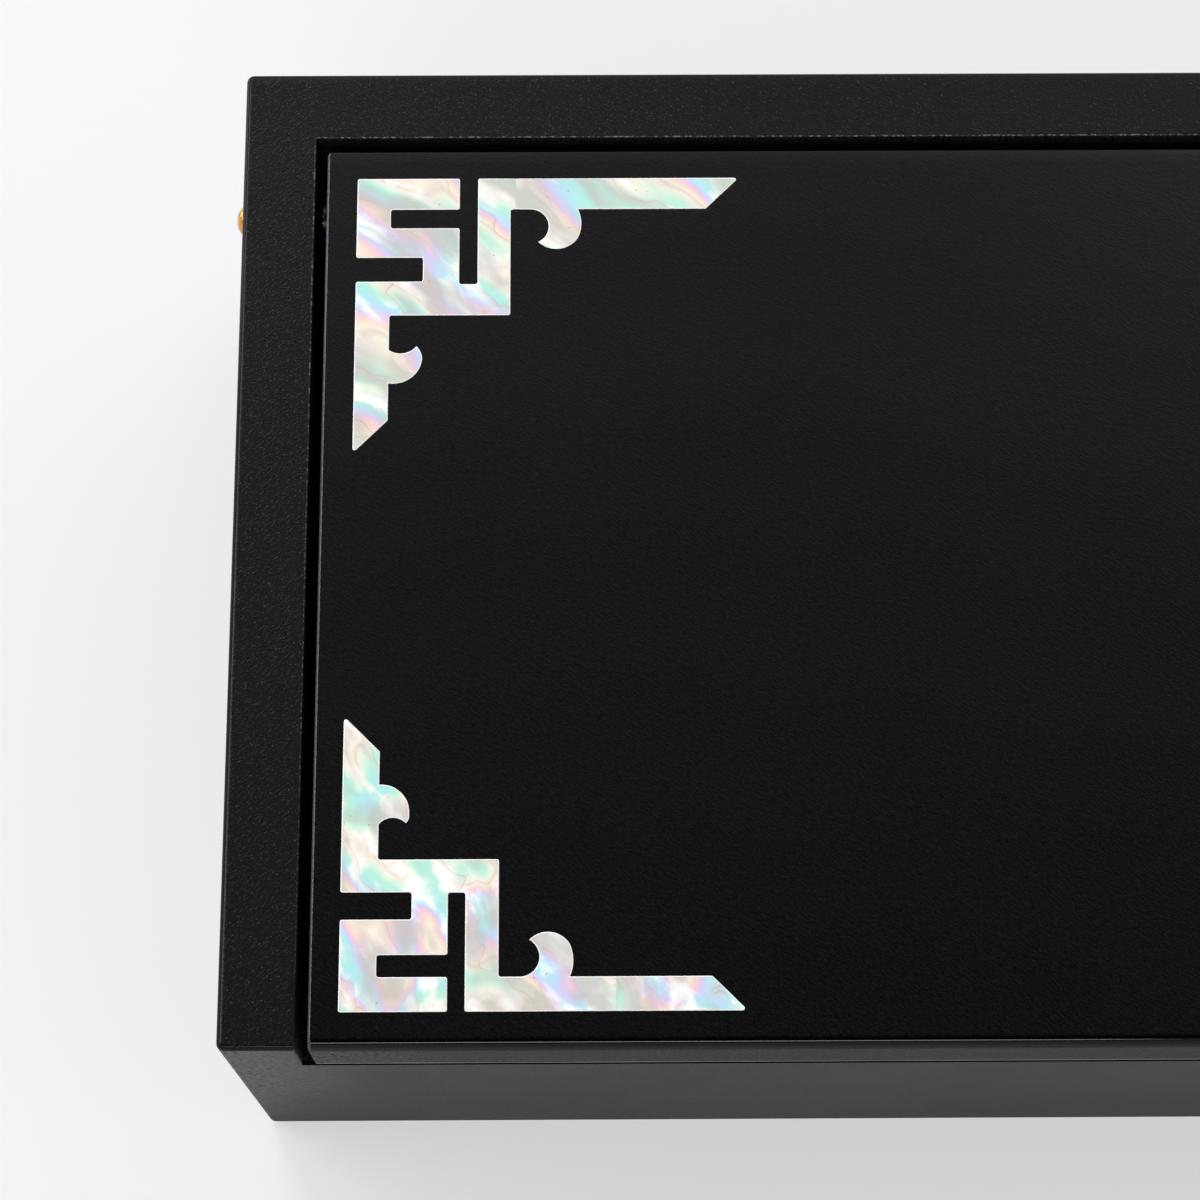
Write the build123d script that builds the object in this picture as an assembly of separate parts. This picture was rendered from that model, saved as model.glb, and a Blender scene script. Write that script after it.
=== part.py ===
from build123d import *
import math
import os
from typing import NamedTuple

# Mother-of-pearl box with a pivoting lid.
# Frame: origin under the middle of the box, on the table. +X right, +Y back, +Z up, millimetres.

# Outside of the box
box_width = 300.0
box_depth = 200.0
board_height = 99.0

# Boards
side_thickness = 14.5
wall_thickness = 14.5
tongue_thickness = 5.0
tongue_length = 6.0
tongue_setback = 3.5
tongue_stop = 9.0

# Base
felt_thickness = 1.0
felt_inset = 1.5
base_thickness = 5.0
base_rebate = 5.0

# Lid
lid_thickness = 17.2
lid_side_gap = 2.45
lid_back_gap = 3.0
lid_seam = 0.7

# Edges, as sanded before the lacquer
outer_edge_round = 1.2
outer_corner_round = 1.5
lower_edge_round = 0.8
inner_edge_round = 0.4
lid_front_round = 2.3
lid_edge_round = 0.55
lid_corner_round = 0.9

# Lid pivots
pivot_from_lid_back = 11.5
pin_radius = 2.0
pin_reach_in_lid = 10.0
pin_tip_chamfer = 0.5
head_radius = 3.1
head_height = 2.0
head_rim = 0.4
bush_radius = 3.0
flange_radius = 3.5
flange_gap = 0.25
lid_bush_length = 12.0
pin_running_clearance = 0.05

# Felt pads under the lid's front edge
rest_pad_radius = 3.5
rest_pad_thickness = 1.5
rest_pad_end_inset = 25.5
rest_pad_clearance = 0.05

# Velvet linings
lining_thickness = 2.0
floor_lining_thickness = 3.0
lining_fit = 0.15
lining_below_sweep = 1.0
lid_lining_thickness = 1.4
lid_lining_side_margin = 6.0
lid_lining_front_gap = 3.0
lid_lining_past_pivot = 4.0

# Mother-of-pearl
shell_thickness = 1.2
shell_proud = 0.05
shell_corner_round = 0.45


class Fret(NamedTuple):
    """One hand-sawn fret corner, u along the front or back edge, v along the side, from its outer corner."""

    side_margin: float
    edge_margin: float
    long_arm: float
    short_arm: float
    bar: float
    stem: float
    key_width: float
    key_slot: float
    key_drop: float
    stem_gap: float
    square_u: float
    square_v: float
    notch_length: float
    notch_near: float
    notch_far: float
    curl_at: float
    curl_radius: float
    hook_at: float
    hook_length: float
    hook_reach: float
    hook_tip_at: float
    hook_tip_reach: float
    seam_at: float


back_fret = Fret(
    side_margin=6.15, edge_margin=6.1, long_arm=77.2, short_arm=59.1, bar=6.9, stem=6.9,
    key_width=20.75, key_slot=4.0, key_drop=23.1, stem_gap=3.6, square_u=31.0, square_v=29.9,
    notch_length=13.4, notch_near=17.4, notch_far=22.5, curl_at=40.2, curl_radius=5.1,
    hook_at=37.2, hook_length=7.2, hook_reach=6.65, hook_tip_at=36.35, hook_tip_reach=5.45, seam_at=32.0,
)
front_fret = Fret(
    side_margin=5.55, edge_margin=6.95, long_arm=76.3, short_arm=57.0, bar=6.6, stem=7.05,
    key_width=20.3, key_slot=4.1, key_drop=22.5, stem_gap=3.2, square_u=29.85, square_v=28.95,
    notch_length=13.4, notch_near=17.5, notch_far=22.6, curl_at=39.0, curl_radius=4.85,
    hook_at=35.7, hook_length=7.8, hook_reach=5.75, hook_tip_at=35.9, hook_tip_reach=5.1, seam_at=51.8,
)

# Curl on the long arm and hook on the short arm, alike on every fret
curl_depth = 3.6
curl_side_round = 7.7
curl_mouth_radius = 3.5
curl_mouth_back = 5.1
curl_flank_angle = 30.0
curl_tip_angle = 137.0
hook_hollow = 1.15
hook_point_round = 0.25
hook_crest_share = 0.25
hook_shoulder_share = 0.8
hook_shoulder_reach = 0.72

# Places worked out from the sizes above
floor_z = felt_thickness
top_z = floor_z + board_height
inner_x = box_width / 2 - side_thickness
inner_y = box_depth / 2 - wall_thickness
lid_half_width = inner_x - lid_side_gap
lid_front_y = -box_depth / 2
lid_back_y = inner_y - lid_back_gap
lid_under_z = top_z - lid_thickness
front_wall_top_z = lid_under_z - lid_seam
base_top_z = floor_z + base_thickness
pivot_y = lid_back_y - pivot_from_lid_back
pivot_z = top_z - lid_thickness / 2
lid_sweep = math.hypot(pivot_from_lid_back, lid_thickness / 2)
lining_top_z = pivot_z - lid_sweep - lining_below_sweep
flange_thickness = (lid_side_gap - flange_gap) / 2
ends = (("left", -1), ("right", 1))


def block(x0, x1, y0, y1, z0, z1):
    """A rectangular block between two corners."""
    middle = ((x0 + x1) / 2, (y0 + y1) / 2, (z0 + z1) / 2)
    return Pos(*middle) * Box(abs(x1 - x0), abs(y1 - y0), abs(z1 - z0))


def rod(x_start, x_end, radius, y=pivot_y, z=pivot_z):
    """A round bar along X on the pivot line."""
    return Pos((x_start + x_end) / 2, y, z) * Rot(0, 90, 0) * Cylinder(radius, abs(x_end - x_start))


def edges_between(shape, axis, x=None, y=None, z=None):
    """Edges parallel to an axis whose middle lies in the ranges given."""
    chosen = shape.edges().filter_by(axis)
    for limits, pick in ((x, 0), (y, 1), (z, 2)):
        if limits is not None:
            chosen = chosen.filter_by(lambda edge: limits[0] < tuple(edge.center())[pick] < limits[1])
    return chosen


def near(value, reach=0.01):
    """A narrow range round a coordinate."""
    return (value - reach, value + reach)


def walls_in_one():
    """The four walls as one ring with every edge eased, before it is parted into boards."""
    half_width = box_width / 2
    half_depth = box_depth / 2
    ring = block(-half_width, half_width, -half_depth, half_depth, floor_z, top_z)
    ring -= block(-inner_x, inner_x, -inner_y, inner_y, floor_z, top_z)
    ring -= block(-inner_x, inner_x, -half_depth, -inner_y, front_wall_top_z, top_z)
    corners = edges_between(ring, Axis.Z, x=near(-half_width)) + edges_between(ring, Axis.Z, x=near(half_width))
    ring = fillet(corners, outer_corner_round)
    ring = fillet(outer_edges(ring, top_z), outer_edge_round)
    ring = fillet(outer_edges(ring, floor_z), lower_edge_round)
    return fillet(inner_rim(ring), inner_edge_round)


def outer_edges(ring, height):
    """The outer edges of the level face at a height, round the rounded corners as well."""
    half_width = (box_width - side_thickness) / 2
    half_depth = (box_depth - wall_thickness) / 2
    level = ring.faces().filter_by(Plane.XY).filter_by(lambda face: abs(face.center().Z - height) < 0.01)
    return level[0].edges().filter_by(
        lambda edge: abs(edge.center().X) > half_width or abs(edge.center().Y) > half_depth
    )


def inner_rim(ring):
    """The edges round the mouth of the box: the rails' inner edges and the front wall's top."""
    rails = edges_between(ring, Axis.Y, z=near(top_z))
    rails = rails.filter_by(lambda edge: abs(abs(edge.center().X) - inner_x) < 0.01)
    back = edges_between(ring, Axis.X, y=near(inner_y), z=near(top_z))
    front = edges_between(ring, Axis.X, z=near(front_wall_top_z))
    uprights = edges_between(ring, Axis.Z, y=near(-box_depth / 2), z=(front_wall_top_z, top_z))
    uprights = uprights.filter_by(lambda edge: abs(abs(edge.center().X) - inner_x) < 0.01)
    return rails + back + front + uprights


def tongue(side, wall):
    """The tongue at one end of the front or back wall, stopped below the wall's top."""
    outer_face = wall * (box_depth / 2 - tongue_setback)
    inner_face = outer_face - wall * tongue_thickness
    wall_top = top_z if wall > 0 else front_wall_top_z
    return block(
        side * inner_x, side * (inner_x + tongue_length), inner_face, outer_face,
        floor_z + tongue_stop, wall_top - tongue_stop,
    )


def base_blank():
    """The base panel, which fills the rebate round the lower inner edge of the walls."""
    half_x = inner_x + base_rebate
    half_y = inner_y + base_rebate
    return block(-half_x, half_x, -half_y, half_y, floor_z, base_top_z)


def side_board(side, ring):
    """A side board, full depth, grooved for the walls' tongues and bored for the pivot bush."""
    board = ring & block(side * inner_x, side * box_width, -box_depth, box_depth, 0, top_z + 1)
    board -= tongue(side, 1) + tongue(side, -1)
    board -= base_blank()
    board -= rod(side * inner_x, side * box_width / 2, bush_radius)
    return board


def back_wall(ring):
    """The back wall, tongued into both side boards."""
    wall = ring & block(-inner_x, inner_x, inner_y, box_depth, 0, top_z + 1)
    wall += tongue(-1, 1) + tongue(1, 1)
    return wall - base_blank()


def front_wall(ring):
    """The low front wall, tongued into both side boards, with a hollow for each rest pad."""
    wall = ring & block(-inner_x, inner_x, -box_depth, -inner_y, 0, top_z + 1)
    wall += tongue(-1, -1) + tongue(1, -1)
    wall -= base_blank()
    return wall - rest_pad(-1) - rest_pad(1)


def rest_pad(side):
    """A felt disc let into the front wall's top, just short of the closed lid."""
    pad_top = lid_under_z - rest_pad_clearance
    middle_y = -(box_depth - wall_thickness) / 2
    place = Pos(side * (inner_x - rest_pad_end_inset), middle_y, pad_top - rest_pad_thickness / 2)
    return place * Cylinder(rest_pad_radius, rest_pad_thickness)


def base_felt():
    """The felt sheet that the box stands on."""
    half_x = box_width / 2 - felt_inset
    half_y = box_depth / 2 - felt_inset
    return block(-half_x, half_x, -half_y, half_y, 0, felt_thickness)


def pin(side):
    """A brass pivot pin: domed head outside, plain shank through the side board into the lid."""
    face_x = box_width / 2
    tip_x = lid_half_width - pin_reach_in_lid
    profile = Polyline(
        (tip_x, 0), (tip_x, pin_radius - pin_tip_chamfer), (tip_x + pin_tip_chamfer, pin_radius),
        (face_x, pin_radius), (face_x, head_radius), (face_x + head_rim, head_radius),
    )
    dome_radius = (head_radius**2 + (head_height - head_rim) ** 2) / (2 * (head_height - head_rim))
    crown = RadiusArc(profile @ 1, (face_x + head_height, 0), dome_radius)
    outline = make_face(profile + crown + Line(crown @ 1, profile @ 0))
    turned = Pos(0, pivot_y, pivot_z) * revolve(outline, Axis.X)
    return turned if side > 0 else mirror(turned, Plane.YZ)


def side_bush(side):
    """The flanged brass sleeve round the pin, its flange in the gap beside the lid."""
    sleeve = rod(side * inner_x, side * box_width / 2, bush_radius)
    flange = rod(side * (inner_x - flange_thickness), side * inner_x, flange_radius)
    return sleeve + flange - rod(side * lid_half_width, side * box_width, pin_radius)


def lid_bush(side):
    """The flanged brass sleeve in the lid's end, in which the lid turns on the pin."""
    bottom_x = lid_half_width - lid_bush_length
    sleeve = rod(side * bottom_x, side * lid_half_width, bush_radius)
    flange = rod(side * lid_half_width, side * (lid_half_width + flange_thickness), flange_radius)
    bore = rod(side * (bottom_x - 1), side * box_width, pin_radius + pin_running_clearance)
    return sleeve + flange - bore


def curl(fret):
    """The curl that hangs from the long arm: a round lobe with a round mouth beside it."""
    centre = Vector(fret.curl_at, fret.bar + curl_depth)
    flank_end = centre + Vector(fret.curl_radius, 0).rotate(Axis.Z, curl_flank_angle)
    crest = centre + Vector(0, fret.curl_radius)
    tip = centre + Vector(fret.curl_radius, 0).rotate(Axis.Z, curl_tip_angle)
    mouth_start = Vector(fret.curl_at - curl_mouth_back, fret.bar)
    mouth_middle = mouth_start + Vector(curl_mouth_radius, curl_mouth_radius)
    flank = RadiusArc((flank_end.X, fret.bar), flank_end, -curl_side_round)
    lobe = ThreePointArc(flank_end, crest, tip)
    mouth = ThreePointArc(tip, mouth_middle, mouth_start)
    return flank + lobe + mouth


def hook(fret):
    """The small hook on the short arm: a hollow on the key's side and a round back."""
    root = (fret.stem, fret.hook_at)
    tip = (fret.stem + fret.hook_tip_reach, fret.hook_tip_at)
    crest = (fret.stem + fret.hook_reach, fret.hook_at + fret.hook_length * hook_crest_share)
    shoulder_u = fret.stem + fret.hook_reach * hook_shoulder_reach
    shoulder = (shoulder_u, fret.hook_at + fret.hook_length * hook_shoulder_share)
    foot = (fret.stem, fret.hook_at + fret.hook_length)
    hollow = SagittaArc(root, tip, hook_hollow)
    point = SagittaArc(tip, crest, -hook_point_round)
    back = ThreePointArc(crest, shoulder, foot)
    return hollow + point + back


def fret_outline(fret):
    """The whole fret corner as one flat face, its corner at the origin, reaching towards +u and +v."""
    gap_end = fret.key_width + fret.stem_gap
    slot_end = fret.bar + fret.key_slot
    start = (0, fret.notch_near / 2)
    bend = curl(fret)
    claw = hook(fret)
    key_edge = FilletPolyline(
        start, (0, 0), (fret.key_width, 0), (fret.key_width, fret.bar), (fret.stem, fret.bar),
        (fret.stem, slot_end), (fret.key_width, slot_end), (fret.key_width, fret.key_drop),
        (gap_end, fret.key_drop), (gap_end, 0), (fret.long_arm, 0), (fret.long_arm - fret.bar, fret.bar),
        bend @ 0, radius=shell_corner_round,
    )
    square_edge = FilletPolyline(
        bend @ 1, (fret.square_u, fret.bar), (fret.square_u, fret.square_v), (fret.stem, fret.square_v),
        claw @ 0, radius=shell_corner_round,
    )
    arm_edge = FilletPolyline(
        claw @ 1, (fret.stem, fret.short_arm - fret.stem), (0, fret.short_arm), (0, fret.notch_far),
        (fret.notch_length, fret.notch_far), (fret.notch_length, fret.notch_near), (0, fret.notch_near),
        start, radius=shell_corner_round,
    )
    return make_face(key_edge + bend + square_edge + claw + arm_edge)


def shell_pieces(end, side):
    """The two shell pieces of one fret: the key with the short arm, and the outer part of the long arm."""
    fret = back_fret if end > 0 else front_fret
    corner_x = side * (lid_half_width - fret.side_margin)
    corner_y = lid_back_y - fret.edge_margin if end > 0 else lid_front_y + fret.edge_margin
    flat = fret_outline(fret)
    if end * side < 0:
        flat = mirror(flat, Plane.YZ)
    turn = 180 if end > 0 else 0
    face = Pos(corner_x, corner_y, top_z + shell_proud) * Rot(0, 0, turn) * flat
    sheet = extrude(face, shell_thickness, dir=(0, 0, -1))
    seam_x = corner_x - side * fret.seam_at
    past_seam = block(seam_x, seam_x - side * fret.long_arm, -box_depth, box_depth, 0, top_z + 1)
    return sheet - past_seam, sheet & past_seam


def lid_panel(shells):
    """The lid board, let in for the shells and bored at both ends for its bushes."""
    lid = block(-lid_half_width, lid_half_width, lid_front_y, lid_back_y, lid_under_z, top_z)
    front_top = edges_between(lid, Axis.X, y=near(lid_front_y), z=near(top_z))
    lid = fillet(front_top, lid_front_round)
    round_ends = edges_between(lid, Axis.X, z=near(top_z - lid_front_round))
    round_ends += edges_between(lid, Axis.X, y=near(lid_front_y + lid_front_round))
    lid = fillet(edges_between(lid, Axis.Z, y=near(lid_back_y)), lid_corner_round)
    uprights = edges_between(lid, Axis.Z, y=(lid_back_y - 2 * lid_corner_round, box_depth))
    sharp = [edge for edge in lid.edges() if edge not in round_ends + uprights]
    lid = fillet(sharp, lid_edge_round)
    for side in (-1, 1):
        bottom_x = side * (lid_half_width - lid_bush_length)
        lid -= rod(bottom_x, side * lid_half_width, bush_radius)
    for shell in shells:
        lid -= shell
    return lid


def lid_lining():
    """The velvet panel under the lid, clear of the front wall and of the back wall in every position."""
    half_x = lid_half_width - lid_lining_side_margin
    front_y = -inner_y + lid_lining_front_gap
    back_y = pivot_y + lid_lining_past_pivot
    return block(-half_x, half_x, front_y, back_y, lid_under_z - lid_lining_thickness, lid_under_z)


def side_lining(side):
    """The velvet panel on a side board, running the full depth of the compartment."""
    face_x = side * inner_x
    return block(face_x, face_x - side * lining_thickness, -inner_y, inner_y, base_top_z, lining_top_z)


def wall_lining(wall):
    """The velvet panel on the front or back wall, between the two side panels."""
    half_x = inner_x - lining_thickness - lining_fit
    face_y = wall * inner_y
    return block(-half_x, half_x, face_y - wall * lining_thickness, face_y, base_top_z, lining_top_z)


def floor_lining():
    """The padded velvet floor, dropped in between the wall panels."""
    half_x = inner_x - lining_thickness - lining_fit
    half_y = inner_y - lining_thickness - lining_fit
    return block(-half_x, half_x, -half_y, half_y, base_top_z, base_top_z + floor_lining_thickness)


def build():
    """Every piece of the box by its name."""
    ring = walls_in_one()
    pieces = {
        "back_wall": back_wall(ring),
        "front_wall": front_wall(ring),
        "base_panel": base_blank(),
        "base_felt": base_felt(),
        "lining_floor": floor_lining(),
        "lining_back": wall_lining(1),
        "lining_front": wall_lining(-1),
        "lining_lid": lid_lining(),
    }
    shells = []
    for name, side in ends:
        pieces[f"side_{name}"] = side_board(side, ring)
        pieces[f"lining_{name}"] = side_lining(side)
        pieces[f"rest_pad_{name}"] = rest_pad(side)
        pieces[f"pivot_pin_{name}"] = pin(side)
        pieces[f"side_bush_{name}"] = side_bush(side)
        pieces[f"lid_bush_{name}"] = lid_bush(side)
        for place, end in (("back", 1), ("front", -1)):
            key, arm = shell_pieces(end, side)
            pieces[f"shell_{place}_{name}_key"] = key
            pieces[f"shell_{place}_{name}_arm"] = arm
            shells += [key, arm]
    pieces["lid_panel"] = lid_panel(shells)
    return pieces


os.makedirs("parts", exist_ok=True)
for name, piece in build().items():
    export_step(piece, f"parts/{name}.step")
    print(f"{name}: {piece.volume:.1f} mm3")
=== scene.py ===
import math

import bmesh
import bpy
from mathutils import Matrix, Vector, noise


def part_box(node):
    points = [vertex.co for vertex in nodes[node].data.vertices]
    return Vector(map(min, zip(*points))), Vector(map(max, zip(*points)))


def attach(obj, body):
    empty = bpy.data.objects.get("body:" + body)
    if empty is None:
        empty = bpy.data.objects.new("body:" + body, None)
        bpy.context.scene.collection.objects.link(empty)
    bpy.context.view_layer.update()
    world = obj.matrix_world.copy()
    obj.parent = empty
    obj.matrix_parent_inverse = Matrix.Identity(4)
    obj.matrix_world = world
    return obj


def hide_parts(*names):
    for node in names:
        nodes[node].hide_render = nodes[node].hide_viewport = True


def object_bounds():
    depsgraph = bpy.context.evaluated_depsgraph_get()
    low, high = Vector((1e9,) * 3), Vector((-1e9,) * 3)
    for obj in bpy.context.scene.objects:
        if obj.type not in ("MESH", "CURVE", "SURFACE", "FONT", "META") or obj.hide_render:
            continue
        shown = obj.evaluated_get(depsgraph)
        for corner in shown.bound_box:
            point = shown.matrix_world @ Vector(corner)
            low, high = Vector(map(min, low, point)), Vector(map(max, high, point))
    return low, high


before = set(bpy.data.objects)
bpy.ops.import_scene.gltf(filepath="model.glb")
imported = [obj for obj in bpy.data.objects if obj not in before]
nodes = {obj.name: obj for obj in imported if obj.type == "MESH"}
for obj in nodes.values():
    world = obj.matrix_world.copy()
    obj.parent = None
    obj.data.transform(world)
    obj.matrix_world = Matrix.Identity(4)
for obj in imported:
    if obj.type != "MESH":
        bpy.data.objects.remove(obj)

cad_low, cad_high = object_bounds()
MM = 0.001

# Places on the box, read from the frame
top_z = cad_high.z
outer_low, outer_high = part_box("side_left")[0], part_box("side_right")[1]
inner_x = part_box("side_right")[0].x
inner_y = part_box("back_wall")[0].y
lid_low, lid_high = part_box("lid_panel")
rail_top_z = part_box("back_wall")[1].z
pin_low, pin_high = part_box("pivot_pin_left")
pivot_y = (pin_low.y + pin_high.y) / 2
pivot_z = (pin_low.z + pin_high.z) / 2


def linear(hex_colour):
    """An sRGB hex colour as linear red, green, blue and alpha."""
    channels = [int(hex_colour[i:i + 2], 16) / 255 for i in (1, 3, 5)]
    return [c / 12.92 if c <= 0.04045 else ((c + 0.055) / 1.055) ** 2.4 for c in channels] + [1.0]


def add(tree, kind, inputs=None, out=0, stops=None, **settings):
    """Adds a node with its settings; an input that is a socket is linked. Gives back one of its outputs."""
    made = tree.nodes.new(kind)
    for name, value in settings.items():
        setattr(made, name, value)
    for place, value in (inputs or {}).items():
        if isinstance(value, bpy.types.NodeSocket):
            tree.links.new(value, made.inputs[place])
        else:
            made.inputs[place].default_value = value
    if stops:
        ramp = made.color_ramp.elements
        while len(ramp) < len(stops):
            ramp.new(0.5)
        for element, (position, colour) in zip(ramp, sorted(stops)):
            element.position = position
            element.color = linear(colour)
    return made.outputs[out]


def material(name, **finish):
    """A new material; finish holds what is the same all over the surface, set on the shader's own sockets."""
    made = bpy.data.materials.new(name)
    made.use_nodes = True
    shader = made.node_tree.nodes["Principled BSDF"]
    for socket, value in finish.items():
        shader.inputs[socket.replace("_", " ")].default_value = value
    return made, made.node_tree, shader.inputs


def millimetres(tree):
    """The place on the object in millimetres, which stays with a piece as it moves."""
    place = add(tree, "ShaderNodeTexCoord", out="Object")
    return add(tree, "ShaderNodeVectorMath", {0: place, "Scale": 1 / MM}, operation="SCALE")


# Materials

# Colours of wear and dust on black lacquer, and of the shade, highlights and reflection painted on it
# Grey of scuff marks, and at the front corners also a painted reflection
SCUFF_AND_REFLECTION_GREY = "#5c5c5d"
# Painted shade in the seam under the lid
SEAM_PAINTED_SHADE = "#0a0a0a"
# Painted highlight along the lower front arris of the lid
PAINTED_HIGHLIGHT_LINE = "#8c8c8d"
# Painted highlight along the lid's end arrises
PAINTED_END_HIGHLIGHT = "#464647"
RUBBED_THROUGH = "#868687"
DUST_NIB = "#545456"


def specks(tree, place, apart, core, rim, share, strength=1.0):
    """Round specks in some cells of a grid: full strength inside the core and none outside the rim, both as a
    part of the cell's width, which is apart in mm."""
    cell = {"Vector": place, "Scale": 1 / apart}
    distance = add(tree, "ShaderNodeTexVoronoi", cell)
    chance = add(tree, "ShaderNodeTexVoronoi", cell, out="Color")
    chance = add(tree, "ShaderNodeSeparateXYZ", {0: chance})
    near = add(
        tree, "ShaderNodeMapRange",
        {"Value": distance, "From Min": core, "From Max": rim, "To Min": strength, "To Max": 0.0},
    )
    kept = add(tree, "ShaderNodeMath", {0: chance, 1: 1 - share}, operation="GREATER_THAN")
    return add(tree, "ShaderNodeMath", {0: near, 1: kept}, operation="MULTIPLY")


def front_line(tree, up, ahead, line_z, half_width):
    """A level line across the front of what is coated, at the height line_z; its edges are 0.2 mm soft."""
    soft = 0.1
    off = add(tree, "ShaderNodeMath", {0: up, 1: line_z / MM}, operation="SUBTRACT")
    off = add(tree, "ShaderNodeMath", {0: off}, operation="ABSOLUTE")
    line = add(
        tree, "ShaderNodeMapRange",
        {
            "Value": off, "From Min": half_width - soft, "From Max": half_width + soft,
            "To Min": 1.0, "To Max": 0.0,
        },
    )
    return add(tree, "ShaderNodeMath", {0: line, 1: ahead}, operation="MULTIPLY")


def rubbed_beads(tree, place, back):
    """The arris along the opening, rubbed through in beads about 0.9 mm apart, fewer towards the front."""
    from_opening = add(tree, "ShaderNodeVectorMath", {0: place}, operation="ABSOLUTE")
    from_opening = add(
        tree, "ShaderNodeVectorMath", {0: from_opening, 1: (inner_x / MM, inner_y / MM, rail_top_z / MM)},
        operation="SUBTRACT",
    )
    out_x, out_y, out_z = add(tree, "ShaderNodeSeparateXYZ", {0: from_opening}).node.outputs
    outward = add(tree, "ShaderNodeMath", {0: out_x, 1: out_y}, operation="MAXIMUM")
    outward = add(tree, "ShaderNodeMath", {0: outward}, operation="ABSOLUTE")
    below = add(tree, "ShaderNodeMath", {0: out_z}, operation="ABSOLUTE")
    off_arris = add(tree, "ShaderNodeMath", {0: outward, 1: below}, operation="MAXIMUM")
    edge = add(
        tree, "ShaderNodeMapRange",
        {"Value": off_arris, "From Min": 0.1, "From Max": 0.32, "To Min": 1.0, "To Max": 0.0},
    )
    beads = add(tree, "ShaderNodeTexNoise", {"Vector": place, "Scale": 1 / 0.75, "Detail": 1.0})
    beads = add(
        tree, "ShaderNodeMapRange",
        {"Value": beads, "From Min": 0.5, "From Max": 0.62, "To Min": 0.12, "To Max": 1.0},
    )
    beads = add(tree, "ShaderNodeMath", {0: beads, 1: edge}, operation="MULTIPLY")
    backwards = add(
        tree, "ShaderNodeMapRange",
        {
            "Value": back, "From Min": -outer_high.y / MM, "From Max": inner_y / MM,
            "To Min": 0.15, "To Max": 1.0,
        },
    )
    return add(tree, "ShaderNodeMath", {0: beads, 1: backwards}, operation="MULTIPLY")


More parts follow.
